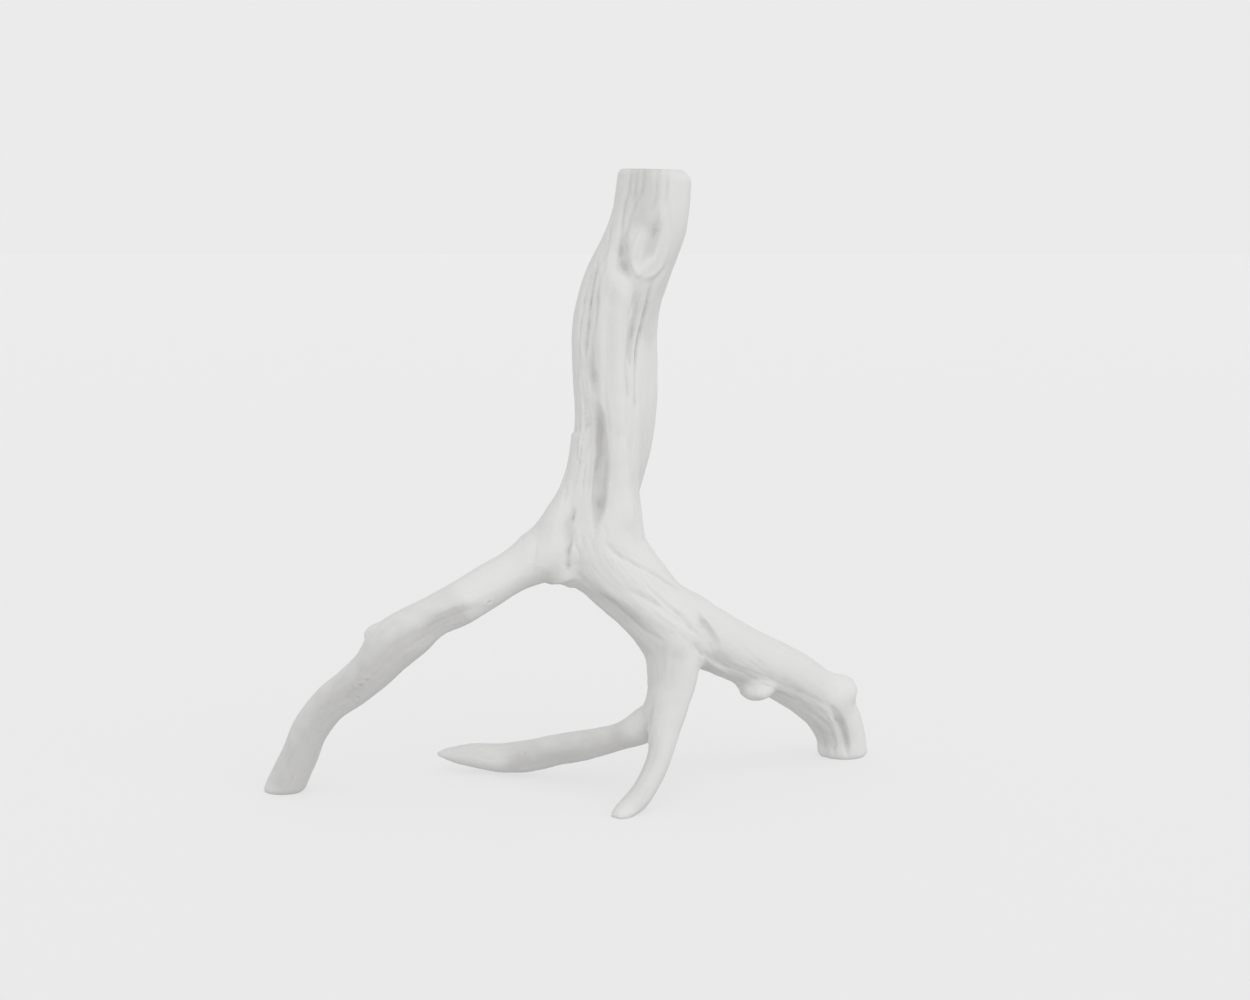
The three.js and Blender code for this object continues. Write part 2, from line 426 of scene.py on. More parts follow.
class Surface:
    # the skin's points, moved with numpy and written back at the end
    def __init__(self, mesh):
        self.mesh = mesh
        self.points = np.empty(len(mesh.vertices) * 3)
        mesh.vertices.foreach_get("co", self.points)
        self.points = self.points.reshape(-1, 3)
        edges = np.empty(len(mesh.edges) * 2, int)
        mesh.edges.foreach_get("vertices", edges)
        self.first, self.second = edges.reshape(-1, 2).T
        self.neighbours = np.bincount(self.first, minlength=len(self.points)) \
            + np.bincount(self.second, minlength=len(self.points))
        corners = np.empty(len(mesh.loops), int)
        mesh.loops.foreach_get("vertex_index", corners)
        starts = np.empty(len(mesh.polygons), int)
        counts = np.empty(len(mesh.polygons), int)
        mesh.polygons.foreach_get("loop_start", starts)
        mesh.polygons.foreach_get("loop_total", counts)
        self.corners = corners[starts[:, None] + np.minimum(np.arange(4), counts[:, None] - 1)]

    def average(self, values):
        count = len(values)
        total = [np.bincount(self.first, values[self.second, k], count)
                 + np.bincount(self.second, values[self.first, k], count) for k in range(values.shape[1])]
        return np.stack(total, axis=1) / self.neighbours[:, None]

    def relaxed(self, values, rounds, amount=0.5):
        values = values.copy()
        for _ in range(rounds):
            values += amount * (self.average(values) - values)
        return values

    def normals(self):
        a, b, c, d = (self.points[self.corners[:, k]] for k in range(4))
        face = np.cross(c - a, d - b)
        result = np.zeros_like(self.points)
        for k in range(4):
            for axis in range(3):
                result[:, axis] += np.bincount(self.corners[:, k], face[:, axis], len(self.points))
        return unit(result)

    # evens the points out and draws them onto the grown shape
    def settle(self, rounds):
        small = 0.2 * mm
        for _ in range(rounds):
            smooth = self.relaxed(self.points, 2)
            way = self.normals()
            drift = smooth - self.points
            self.points += drift - way * (drift * way).sum(1)[:, None]
            here = bodyDistance(self.points)
            slope = [bodyDistance(self.points + small * axis) - here for axis in np.eye(3)]
            slope = np.stack(slope, axis=1) / small
            self.points -= slope * (here / np.maximum((slope ** 2).sum(1), 0.3))[:, None]

    def tree(self):
        return BVHTree.FromPolygons(self.points.tolist(), self.corners.tolist())

    def write(self):
        self.mesh.vertices.foreach_set("co", self.points.ravel())
        self.mesh.update()

    def store(self, name, values):
        kind, key = ("FLOAT", "value") if values.ndim == 1 else ("FLOAT_VECTOR", "vector")
        attribute = self.mesh.attributes.new(name, kind, "POINT")
        attribute.data.foreach_set(key, values.ravel())


# Straightened wood coordinates: beside and behind the pith, and the way along it, so that a
# pattern runs with the grain. Where limbs join, their coordinates flow into each other.
def grainOf(points):
    total, weights, lengthwise = 0, 0, 0
    stem = limbs["stemAndRightRoot"]
    for limb in limbs.values():
        distance, place = limb.measure(points)
        if limb is not stem:
            _, start = stem.measure(limb.middle[:1])
            place = place + start
        weight = np.exp(-np.maximum(distance, -0.01) / (5 * mm))[:, None] + 1e-30
        total, weights = total + weight * place, weights + weight
    return total / weights


# Ribs and hollows are round lines that are grown onto the skin or cut out of it: radius, how high
# they stand (less than nothing for a hollow), how widely they blend in, how far a hollow runs out
# on the left of its sharp edge (less than nothing: on the right), and x and z along them.
frontRibs = {
    "knotMound": (9.0, 1.2, 7.0, 0, [(64, 500), (60, 488), (58, 476), (60, 466)]),
    "knotBowl": (8.0, -3.7, 2.2, 5, [(79, 520), (79, 509), (78.5, 499), (77.5, 490), (75.5, 482),
                                     (72, 474), (67.5, 467), (62, 461), (56, 456)]),
    "knotLip": (2.4, 1.8, 1.6, 0, [(64, 508), (57, 492), (53, 481), (52, 472), (54, 464), (58, 459),
                                   (64, 457), (71, 460), (77, 467), (81, 478), (82, 490)]),
    "knotPit": (7.0, -3.8, 2.0, 5, [(56, 502), (52, 492), (50, 483), (49.5, 475), (50.5, 467), (53, 460),
                                    (57, 453), (62, 447)]),
    "knotWedge": (5.5, -3.2, 1.2, -7, [(59, 466), (55, 457), (53, 448), (52, 438), (51, 427), (49, 415),
                                       (48, 403), (47, 390), (48, 368), (49, 352)]),
    "bandHollow": (7.5, -3.8, 1.1, 7, [(31, 470), (28, 452), (26, 441), (25, 431), (24, 421), (22, 404),
                                       (22, 392), (22, 381), (24, 371), (26, 350), (28, 335)]),
    "longHollow": (8.5, -4.8, 1.3, 8, [(25, 370), (27, 352), (30, 337), (31, 326), (32, 315), (33, 303),
                                       (33, 291), (32, 277), (30, 262), (28, 248), (26, 234), (26, 222)]),
    "collarCrease": (3.8, -2.0, 1.6, 5, [(6, 284), (4, 266), (1, 250), (-1, 238), (-2, 228), (-2, 217),
                                         (-1, 207), (1, 196)]),
    "collarFold": (3.5, -1.2, 1.2, 2.5, [(-26, 236), (-29, 222), (-30, 208), (-30, 195), (-30, 186)]),
    "underBend": (10, -4.0, 3.5, 6, [(8, 199), (14, 195), (22, 189), (31, 183), (42, 175), (53, 166),
                                     (63, 158), (74, 150), (84, 143)]),
    "ropeHollow": (4.5, -2.4, 1.0, 3, [(108, 174), (113, 166), (119, 156), (125, 147), (130, 138),
                                       (132, 128), (131, 116)]),
    "rootValley": (4.5, -1.6, 1.3, -5, [(108, 128), (116, 121), (124, 114), (132, 108), (140, 103),
                                        (148, 98)]),
    "thinRidge": (2.2, 1.3, 1.4, 0, [(106, 128), (116, 120), (124, 113), (132, 107), (139, 102),
                                     (146, 98)]),
    "underRidge": (4.0, -1.6, 1.6, 3, [(116, 114), (124, 107), (130, 102), (136, 98)]),
    "footFlute": (5.5, -3.4, 1.0, 3, [(236, 66), (245, 55), (253, 41), (257, 28), (260, 14), (261, 2),
                                      (261, -12)]),
    "footHollow": (9.0, -1.8, 5.0, 0, [(216, 46), (226, 34), (232, 20), (235, 4), (236, -12)]),
    "footGroove": (3.2, -1.0, 1.3, 2, [(186, 78), (202, 67), (215, 58), (228, 48), (238, 36), (244, 20),
                                       (247, 4), (248, -12)]),
    "rootGroove": (3.6, -1.2, 1.3, 2, [(174, 91), (186, 82), (202, 72), (222, 60), (239, 47), (248, 36)]),
    "leftHollow": (16, -3.6, 8.0, 0, [(-72, 176), (-90, 168), (-106, 160), (-120, 153), (-134, 147),
                                      (-150, 140)]),
    "leftGroove": (3.5, -0.9, 1.6, 2, [(-133, 148), (-144, 137), (-155, 125), (-167, 112)]),
    "leftFootHollow": (14, -1.6, 8.0, 0, [(-176, 106), (-192, 94), (-207, 80), (-222, 60)]),
    "crotchCrease": (3.5, -2.0, 1.6, 3, [(75, 96), (72, 82), (70, 69), (69, 54)]),
    "underPoint": (4.0, 1.4, 3.0, 0, [(36, 40), (10, 26), (-16, 17), (-40, 9), (-60, 5)]),
}

backRibs = {
    "backHollow": (7.5, -3.4, 2.0, 6, [(58, 575), (58, 530), (54, 490), (44, 450), (37, 410), (34, 370),
                                       (33, 325)]),
    "backFold": (6.5, -3.0, 1.8, 6, [(28, 300), (20, 262), (8, 240), (-14, 226), (-40, 213)]),
    "backRope": (6.0, -2.4, 1.8, -5, [(46, 262), (60, 226), (80, 198), (100, 176)]),
    "backRib": (6.0, 2.0, 4.0, 0, [(44, 470), (32, 430), (24, 390), (22, 340), (20, 290), (10, 258)]),
    "rootBack": (7.0, -2.6, 2.0, 5, [(146, 122), (180, 98), (206, 78), (228, 56), (242, 26), (244, -12)]),
    "leftBack": (9.0, -2.6, 4.0, 6, [(-86, 172), (-125, 148), (-155, 124), (-188, 96)]),
}

# A mark is a line drawn on the surface from one side, always downwards: how high it stands (less
# than nothing for a groove), its half width on the left and on the right, and x and z along it.
frontMarks = {
    "sawnEndGrooves": [
        (-1.2, 13, 13, [(62, 575), (62, 530), (60, 506)]),
        (-1.8, 2.0, 1.5, [(49, 575), (49, 537), (47, 525), (44, 512), (43, 500), (42, 488), (42, 476),
                          (44, 466)]),
        (-1.5, 2.0, 1.5, [(62, 575), (61, 540), (59, 530), (55, 520), (51, 510), (48, 500), (45, 488),
                          (45, 476)]),
        (-1.8, 2.0, 1.5, [(73, 575), (73, 532), (72, 523), (69, 513), (67, 506)]),
        (0.8, 1.7, 1.8, [(78, 575), (78, 530), (76, 516), (75, 504), (74, 494)]),
        (-2.0, 2.1, 1.5, [(82, 575), (82, 535), (81, 524), (80, 514), (77, 505)]),
        (-1.1, 1.6, 1.8, [(84, 530), (83, 512), (84, 500), (86, 489)]),
        (-0.9, 1.6, 1.5, [(41, 575), (40, 540), (37, 515), (33, 498), (31, 484)]),
        (-0.9, 1.5, 1.5, [(55, 575), (55, 542), (52, 526), (48, 514)]),
        (-0.4, 1.6, 1.6, [(67, 575), (67, 545), (65, 522)]),
        (0.5, 2.0, 2.0, [(44, 575), (44, 535), (41, 515), (38, 498)]),
    ],
    "healedKnot": [
        (-1.1, 1.6, 1.7, [(64, 510), (60, 501), (55, 493), (50, 485), (48, 477)]),
        (-1.0, 2.0, 2.0, [(60, 453), (68, 453), (75, 458), (81, 465), (86, 474)]),
    ],
    "belowTheKnot": [
        (-1.8, 1.7, 3.0, [(54, 454), (53, 438), (50, 424), (49, 411), (48, 396), (47, 380), (48, 362),
                          (49, 343)]),
        (-1.0, 1.5, 1.7, [(58, 446), (55, 430), (53, 416), (51, 402), (50, 388)]),
        (-2.4, 2.8, 1.6, [(73, 460), (69, 448), (65, 433), (61, 416), (57, 401), (56, 386), (56, 370),
                          (56, 353), (56, 334)]),
        (0.9, 2.0, 2.0, [(66, 450), (61, 430), (57, 413), (53, 396), (52, 378), (52, 358)]),
        (-0.5, 1.6, 1.6, [(68, 371), (68, 356)]),
    ],
    "middleColumn": [
        (3.2, 10, 6.5, [(46, 468), (42, 440), (40, 405), (40, 370), (42, 335), (45, 300), (48, 265),
                        (53, 235)]),
        (-1.2, 4.0, 5.0, [(37, 455), (33, 425), (32, 395), (32, 365), (34, 335), (37, 305)]),
        (1.0, 1.6, 1.8, [(27, 425), (25, 400), (25, 380), (26, 362), (28, 346)]),
        (-0.8, 1.4, 1.4, [(25, 388), (27, 374), (28, 361), (30, 346), (32, 330), (33, 312), (34, 292)]),
        (0.8, 1.5, 1.6, [(30, 372), (32, 352), (34, 330), (35, 308)]),
    ],
    "roughBand": [
        (-2.2, 1.8, 2.4, [(23, 476), (20, 461), (17, 447), (15, 432), (13, 416), (12, 401), (12, 386)]),
        (-1.5, 1.6, 2.0, [(18, 470), (14, 456), (11, 445), (9, 430), (7, 415), (7, 400)]),
        (-1.1, 1.5, 1.7, [(10, 452), (5, 438), (4, 425), (3, 409)]),
        (-1.2, 1.6, 2.0, [(36, 506), (33, 498), (31, 484), (28, 472), (26, 458)]),
        (-0.8, 1.5, 1.5, [(30, 490), (27, 478), (24, 468)]),
        (-1.0, 1.6, 1.8, [(7, 384), (5, 371), (3, 356)]),
        (-0.9, 1.6, 1.6, [(14, 345), (12, 325), (9, 300), (4, 280)]),
        (-0.9, 1.6, 1.6, [(18, 384), (17, 366), (17, 350)]),
        (0.9, 1.6, 1.8, [(23, 462), (20, 440), (18, 420), (17, 404)]),
        (0.7, 1.8, 1.8, [(10, 400), (7, 375), (8, 350), (10, 325)]),
    ],
    "longHollow": [
        (-1.2, 1.5, 1.8, [(24, 336), (23, 312), (21, 290), (19, 273), (18, 256)]),
        (0.8, 1.5, 1.6, [(27, 326), (27, 302), (25, 284), (23, 264)]),
        (-0.8, 1.5, 1.5, [(17, 320), (16, 298), (14, 278), (13, 262)]),
        (-0.6, 1.5, 1.5, [(11, 300), (10, 284), (9, 266)]),
    ],
    "collarFolds": [
        (-0.7, 2.0, 2.0, [(-13, 224), (-14, 208), (-14, 192)]),
        (0.8, 5.0, 5.0, [(-20, 232), (-21, 214), (-21, 196)]),
        (-1.4, 1.6, 1.6, [(-4, 278), (-6, 270), (-9, 260)]),
        (-1.4, 1.6, 1.6, [(3, 260), (1, 252), (0, 243)]),
        (-0.9, 1.6, 1.6, [(29, 243), (30, 232)]),
        (-0.8, 1.5, 1.5, [(2, 239), (3, 222)]),
        (-2.2, 3.0, 1.8, [(1, 246), (-1, 230), (-3, 216), (-3, 204), (-2, 194)]),
        (-0.8, 1.5, 1.5, [(8, 236), (10, 220)]),
        (-0.7, 1.5, 1.5, [(14, 240), (17, 226), (22, 214)]),
    ],
    "bend": [
        (-1.9, 2.4, 1.6, [(25, 232), (38, 220), (49, 213), (57, 208), (66, 203), (75, 197), (88, 188),
                          (100, 179)]),
        (-0.8, 1.6, 1.6, [(32, 229), (46, 219), (59, 212), (72, 204)]),
        (1.2, 4.0, 8.0, [(0, 210), (8, 202), (18, 194), (30, 186), (43, 178), (61, 167), (77, 158),
                         (94, 148), (108, 137)]),
        (1.2, 1.6, 1.8, [(2, 195), (14, 187), (26, 178), (38, 168)]),
        (-1.6, 1.8, 1.8, [(44, 190), (60, 181), (72, 174), (85, 163), (101, 152), (112, 140), (119, 126)]),
        (-1.4, 1.7, 1.6, [(70, 181), (84, 170), (97, 160), (110, 146)]),
        (-0.8, 1.6, 1.6, [(84, 186), (98, 175), (110, 163)]),
        (-1.0, 1.6, 1.8, [(60, 170), (74, 162), (88, 152), (100, 140)]),
        (-1.0, 1.7, 1.7, [(52, 158), (64, 149), (76, 142), (86, 136)]),
        (0.7, 1.8, 1.8, [(64, 176), (80, 166), (94, 155), (106, 142)]),
    ],
    "ropeFolds": [
        (-1.1, 1.6, 1.6, [(108, 154), (115, 144), (121, 134), (126, 123)]),
        (-0.9, 1.5, 1.5, [(112, 159), (119, 149), (126, 138)]),
        (1.3, 1.8, 1.8, [(98, 153), (109, 142), (117, 131), (121, 122), (124, 114)]),
        (-1.5, 1.8, 1.6, [(100, 144), (110, 132), (117, 120), (121, 112)]),
        (-0.9, 1.6, 1.6, [(94, 147), (104, 134), (112, 121)]),
    ],
    "rightRoot": [
        (-0.9, 1.6, 1.6, [(145, 133), (155, 123), (167, 111), (177, 102)]),
        (-0.9, 1.6, 1.6, [(149, 121), (161, 110), (174, 98), (184, 90), (197, 82), (213, 73), (226, 64),
                          (240, 55), (252, 45)]),
        (0.9, 1.8, 2.0, [(184, 83), (197, 74), (212, 63), (226, 53), (239, 43), (247, 31), (251, 15),
                         (253, -12)]),
        (-0.7, 1.6, 1.6, [(200, 60), (214, 49), (226, 37), (233, 22), (236, 4), (236, -10)]),
        (-0.7, 1.6, 1.6, [(150, 112), (162, 102), (174, 92)]),
        (-0.8, 2.4, 2.4, [(262, 62), (262, 54), (262, 44)]),
    ],
    "leftRoot": [
        (-1.0, 1.7, 1.7, [(-86, 174), (-102, 167), (-118, 160), (-130, 154)]),
        (-0.7, 1.6, 1.6, [(-94, 176), (-110, 168), (-124, 161)]),
        (0.9, 2.2, 1.8, [(-142, 171), (-154, 165), (-165, 157), (-173, 149)]),
        (-0.9, 1.6, 1.6, [(-146, 164), (-158, 158), (-168, 150), (-174, 142)]),
        (0.7, 1.8, 1.8, [(-190, 116), (-202, 104), (-213, 91), (-222, 76)]),
        (-0.6, 1.6, 1.6, [(-205, 94), (-217, 78), (-226, 58)]),
        (-0.6, 1.6, 1.6, [(-232, 60), (-242, 36), (-252, 10), (-256, -8)]),
    ],
    "frontAndPointedRoot": [
        (-0.6, 1.7, 1.7, [(90, 142), (88, 124), (86, 106), (84, 90)]),
        (0.5, 1.8, 1.8, [(84, 140), (82, 120), (80, 100)]),
        (0.9, 1.6, 1.6, [(68, 90), (66, 78), (64, 66), (63, 56)]),
        (-0.6, 1.8, 1.8, [(44, 58), (16, 46), (-12, 36), (-40, 30)]),
        (-0.5, 1.7, 1.7, [(-52, 22), (-72, 17), (-94, 14)]),
        (-0.4, 1.8, 1.8, [(78, 70), (70, 46), (60, 26)]),
    ],
}

# The back has the same kinds of marks, run the way its own limbs run.
backMarks = {
    "stemBack": [
        (-2.0, 2.2, 3.0, [(84, 575), (82, 520), (76, 480), (66, 440), (60, 400), (58, 360), (56, 330)]),
        (-1.6, 2.0, 1.8, [(50, 575), (49, 520), (42, 480), (30, 440), (22, 400), (20, 360), (22, 310)]),
        (-1.2, 1.7, 1.7, [(70, 575), (70, 520), (66, 490), (58, 460)]),
        (-1.0, 1.6, 1.6, [(92, 575), (92, 530), (88, 500), (82, 470)]),
        (-1.8, 2.2, 2.6, [(14, 420), (10, 380), (12, 340), (14, 300), (8, 260)]),
        (-1.2, 1.8, 1.8, [(60, 250), (72, 222), (92, 200), (116, 180)]),
        (1.8, 4.0, 5.0, [(36, 290), (34, 250), (46, 216), (70, 188), (100, 164), (130, 144)]),
        (-0.9, 1.7, 1.7, [(48, 400), (46, 360), (46, 320), (44, 290)]),
    ],
    "rootBacks": [
        (-1.3, 1.8, 1.8, [(130, 148), (160, 132), (190, 112), (218, 90), (238, 66)]),
        (-1.6, 2.2, 2.2, [(150, 104), (180, 88), (206, 68), (226, 46), (236, 18), (238, -12)]),
        (-1.3, 2.0, 2.6, [(-30, 218), (-60, 200), (-95, 182), (-130, 160), (-158, 134)]),
        (-0.9, 1.7, 1.7, [(-200, 96), (-224, 76), (-240, 48), (-252, 16), (-256, -12)]),
        (-0.9, 1.8, 1.8, [(50, 60), (20, 46), (-10, 36), (-44, 26), (-76, 20)]),
        (-1.6, 2.4, 2.4, [(60, 150), (74, 120), (84, 96)]),
    ],
}

# Where the weather has opened the grain: how strongly, how far to each side, and x and z along it.
wornBands = [
    (1.0, 15, [(32, 500), (22, 470), (14, 440), (10, 410), (10, 380), (12, 350), (10, 320), (4, 290),
               (-4, 262)]),
    (0.9, 8, [(24, 350), (24, 300), (20, 250)]),
    (0.7, 20, [(-4, 236), (14, 216), (44, 200), (76, 178), (104, 156), (124, 134)]),
    (0.8, 10, [(12, 190), (36, 172), (60, 152), (76, 132)]),
    (0.9, 14, [(128, 116), (160, 96), (200, 72), (230, 50), (242, 20), (244, -8)]),
    (0.5, 16, [(-80, 172), (-130, 150), (-178, 112), (-212, 76), (-240, 30), (-254, -6)]),
    (0.5, 14, [(60, 575), (60, 540), (52, 505)]),
    (0.4, 12, [(60, 56), (20, 40), (-30, 24), (-80, 14)]),
]

# Painted shade: where the wood is coloured darker to stand for the shade there, told in the same way.
paintedShadeBands = [
    (1.0, 20, [(-84, 170), (-110, 158), (-135, 144), (-160, 130), (-185, 106), (-210, 80), (-235, 45),
               (-252, 12), (-258, -9)]),
    (0.6, 22, [(88, 146), (84, 128), (82, 110), (79, 88)]),
    (0.35, 26, [(84, 110), (78, 80), (74, 50), (64, 24), (48, 2)]),
    (0.12, 24, [(100, 150), (140, 128), (180, 106), (215, 84), (240, 70)]),
    (0.6, 9, [(24, 345), (25, 320), (26, 295), (25, 270), (22, 245)]),
    (0.8, 12, [(54, 60), (30, 45), (4, 34), (-20, 25), (-44, 18), (-70, 12)]),
    (0.7, 14, [(60, 575), (61, 540), (61, 515), (66, 492)]),
]

# Small dead side twigs: x, z, how wide, how high.
frontKnots = [(-184, 105, 2.6, 1.2), (-178, 110, 2.8, 1.0), (-72, 177, 2.6, 1.2),
              (-84, 24, 2.8, 0.8), (-46, 24, 2.8, 0.8)]
backKnots = [(48, 420, 7.0, 3.0), (-110, 176, 4.0, 1.8), (176, 100, 5.0, 2.2), (22, 40, 3.0, 1.2)]


# Where the skin is at an x and z seen from the front (side -1) or the back (side 1), and its way
def onSkin(x, z, tree, side):
    hit, way, _, _ = tree.ray_cast(Vector((x * mm, side * 0.5, z * mm)), Vector((0, -side, 0)))
    return hit, way


# The line of a mark laid on the skin, as places and the skin's way there. Past the saw cuts
# it goes straight on.
def laidLine(points, tree, side):
    table = np.array(points, float)
    last = len(table) - 1
    line = []
    lowest, highest = 5, body["sawnTop"][1] - 14
    for i in range(last):
        steps = max(2, round(np.linalg.norm(table[i + 1] - table[i]) / 2))
        for t in np.linspace(0, 1, steps + (i == last - 1), endpoint=i == last - 1):
            x, z = curvePlace(table, i, t)
            hit, way = onSkin(x, min(max(z, lowest), highest), tree, side)
            if hit:
                line.append((hit.x, hit.y, z * mm, *way))
    return np.array(line)


def applyMarks(groups, points, way, tree, side):
    push = np.zeros(len(points))
    for name, group in groups.items():
        for *sizes, path in group:
            line = laidLine(path, tree, side)
            if len(line) < 3:
                print("a mark missed the skin:", name, path[0])
                continue
            push += markShape(*(size * mm for size in sizes), line, points, way)
    return push


markEdges = {
    "widthWobble": 0.2,     # how much a mark's width and height vary along it
    "heightWobble": 0.25,
    "wobbles": 90,          # how many per metre
    "fadeShare": 0.3,       # how much of a mark its end may take up
    "longestFade": 18,
}


# A rounded groove or ridge: all its height on the line, fading to 0 at its sides and its ends
def markShape(height, left, right, line, points, way):
    near, spot, beside, strength = byLine(line, points, way, 2.6 * max(left, right))
    wobble = noiseAt(points[near], markEdges["wobbles"])
    width = np.where(beside > 0, right, left) * (1 + markEdges["widthWobble"] * wobble)
    shape = np.zeros(len(points))
    uneven = 1 + markEdges["heightWobble"] * wobble
    shape[near] = height * np.exp(-(spot / width) ** 2) * strength * uneven
    return shape


def noiseAt(places, scale=1):
    return np.array([noise.noise(Vector(place) * scale) for place in places])


# The points near a line: how far from it, on which side, and how much of the mark they get
def byLine(line, points, way, reach):
    low, high = line[:, :3].min(0) - reach, line[:, :3].max(0) + reach
    near = np.flatnonzero(((points > low) & (points < high)).all(1))
    here = points[near]
    spot = np.full(len(here), np.inf)
    along = np.zeros(len(here))
    beside = np.zeros(len(here))
    starts, ends = line[:-1, :3], line[1:, :3]
    lengths = np.linalg.norm(ends - starts, axis=1)
    travelled = travelledAlong(line[:, :3])
    for i in range(len(starts)):
        run = ends[i] - starts[i]
        t = np.clip((here - starts[i]) @ run / max(lengths[i] ** 2, 1e-12), 0, 1)
        offset = here - starts[i] - t[:, None] * run
        distance = np.linalg.norm(offset, axis=1)
        closer = distance < spot
        spot[closer] = distance[closer]
        along[closer] = (travelled[i] + t * lengths[i])[closer]
        beside[closer] = (offset @ np.cross(line[i, 3:], run))[closer]
    fade = min(markEdges["fadeShare"] * travelled[-1], markEdges["longestFade"] * mm)
    facing = ease(-0.4, 0.1, way[near] @ line[:, 3:].mean(0))
    return near, spot, beside, ease(0, fade, along) * ease(0, fade, travelled[-1] - along) * facing


def knotPush(knots, points, tree, side):
    push = np.zeros(len(points))
    for x, z, wide, high in knots:
        hit, _ = onSkin(x, z, tree, side)
        if hit:
            away = points - np.array(hit)
            near = np.flatnonzero(np.linalg.norm(away, axis=1) < 4 * wide * mm)
            uneven = noiseAt(points[near], 260)
            r = np.linalg.norm(away[near] * (0.8, 1, 1.2), axis=1) / (wide * mm) * (1 + 0.5 * uneven)
            push[near] += high * mm * (np.exp(-(r - 1) ** 2 * 3) - 1.2 * np.exp(-(r * 1.7) ** 2))
    return push


grainLook = {
    "flutes": (1.0, 62, 5.0),     # depth in mm, how many per metre across, per metre along
    "furrows": (1.1, 165, 12),
    "fibres": (0.75, 330, 26),
    "frontFlutes": 0.15,          # how much of the flutes shows on the front, which has its own marks
    "plainFurrows": 0.18,         # how much of the furrows and fibres shows where the wood isn't worn
}


def grainPush(grain, way, worn):
    front = ease(0.1, 0.7, -way[:, 1])
    flutes = 1 - (1 - grainLook["frontFlutes"]) * front
    furrows = np.maximum(grainLook["plainFurrows"] + (1 - front) * 0.4, worn)
    push = np.zeros(len(grain))
    for name, amount in (("flutes", flutes), ("furrows", furrows), ("fibres", furrows)):
        depth, across, along = grainLook[name]
        stretched = grain * (across, across, along) + (0, 0, len(name))
        value = noiseAt(stretched)
        if name != "flutes":
            value = 0.25 - np.maximum(1 - 2.6 * np.abs(value), 0) ** 1.3
        push += depth * value * amount
    return push * mm


def bandPlaces(bands, points, way, tree):
    share = np.zeros(len(points))
    for strength, width, path in bands:
        line = laidLine(path, tree, -1)
        share = np.maximum(share, markShape(strength, width * mm, width * mm, line, points, way))
    return share


def isSawn(points, way):
    result = np.zeros(len(points))
    for middle, plane in sawPlanes():
        atCut = np.abs((points - middle) @ plane) < 2 * mm
        result = np.maximum(result, atCut * ease(0.75, 0.95, way @ plane))
    return result


def shapeRoot(wood):
    mesh = fineSkin(sweepLimbs(wood))
    print("skin:", len(mesh.vertices), "points")
    surface = Surface(mesh)
    surface.settle(3)
    print("grown shape settled")
    tree = surface.tree()
    for table, side in ((frontRibs, -1), (backRibs, 1)):
        for sizes in table.values():
            ribs.extend(Rib(*part, tree, side) for part in ribParts(*sizes))
    surface.settle(4)
    print("ribs grown and hollows cut:", len(ribs))
    points, way, tree = surface.points, surface.normals(), surface.tree()
    push = applyMarks(frontMarks, points, way, tree, -1) + applyMarks(backMarks, points, way, tree, 1)
    push += knotPush(frontKnots, points, tree, -1) + knotPush(backKnots, points, tree, 1)
    push = surface.relaxed(push[:, None], 1)[:, 0]
    push += grainPush(grainOf(points), way, bandPlaces(wornBands, points, way, tree))
    print("marks cut, deepest", round(-push.min() / mm, 1), "mm")
    surface.points = points + way * push[:, None]
    surface.points += roundEnds(surface.points, way)
    surface.write()
    sawEnds(mesh)
    mesh = thinSkin(mesh)
    print("ends sawn")
    storePlaces(Surface(mesh), tree)
    mesh.shade_smooth()
    return mesh


# What the wood's colour follows, kept on the points: the grain, the hollows, which are darkened as painted
# shade, the sawn ends, where the wood is worn, and painted shade on the undersides and on the listed bands
def storePlaces(surface, tree):
    points, way = surface.points, surface.normals()
    # how deep each point lies in a hollow; the colour darkens with it as painted shade
    hollow = ((surface.relaxed(points, 30) - points) * way).sum(1) / mm
    hollow = surface.relaxed(np.clip(hollow, -2, 2)[:, None], 3)[:, 0]
    # painted shade: darker where the skin faces down
    undersideShade = ease(-0.1, 0.9, -surface.relaxed(way, 12)[:, 2])
    # painted shade: the listed bands and the undersides are coloured darker
    dull = bandPlaces(paintedShadeBands, points, way, tree) + 0.8 * undersideShade
    surface.store("grain", grainOf(points))
    surface.store("hollow", hollow)
    surface.store("sawn", isSawn(points, way))
    surface.store("worn", bandPlaces(wornBands, points, way, tree))
    surface.store("dull", np.clip(dull, 0, 1))


class Value:
    # a socket that Python's operators turn into Math nodes
    def __init__(self, maker, socket):
        self.maker, self.socket = maker, socket

    def combine(self, operation, other, swapped=False):
        pair = (other, self) if swapped else (self, other)
        return self.maker.add("ShaderNodeMath", {"operation": operation}, pair).out(0)

    def __add__(self, other):
        return self.combine("ADD", other)

    def __radd__(self, other):
        return self.combine("ADD", other, True)

    def __sub__(self, other):
        return self.combine("SUBTRACT", other)

    def __rsub__(self, other):
        return self.combine("SUBTRACT", other, True)

    def __mul__(self, other):
        return self.combine("MULTIPLY", other)

    def __rmul__(self, other):
        return self.combine("MULTIPLY", other, True)


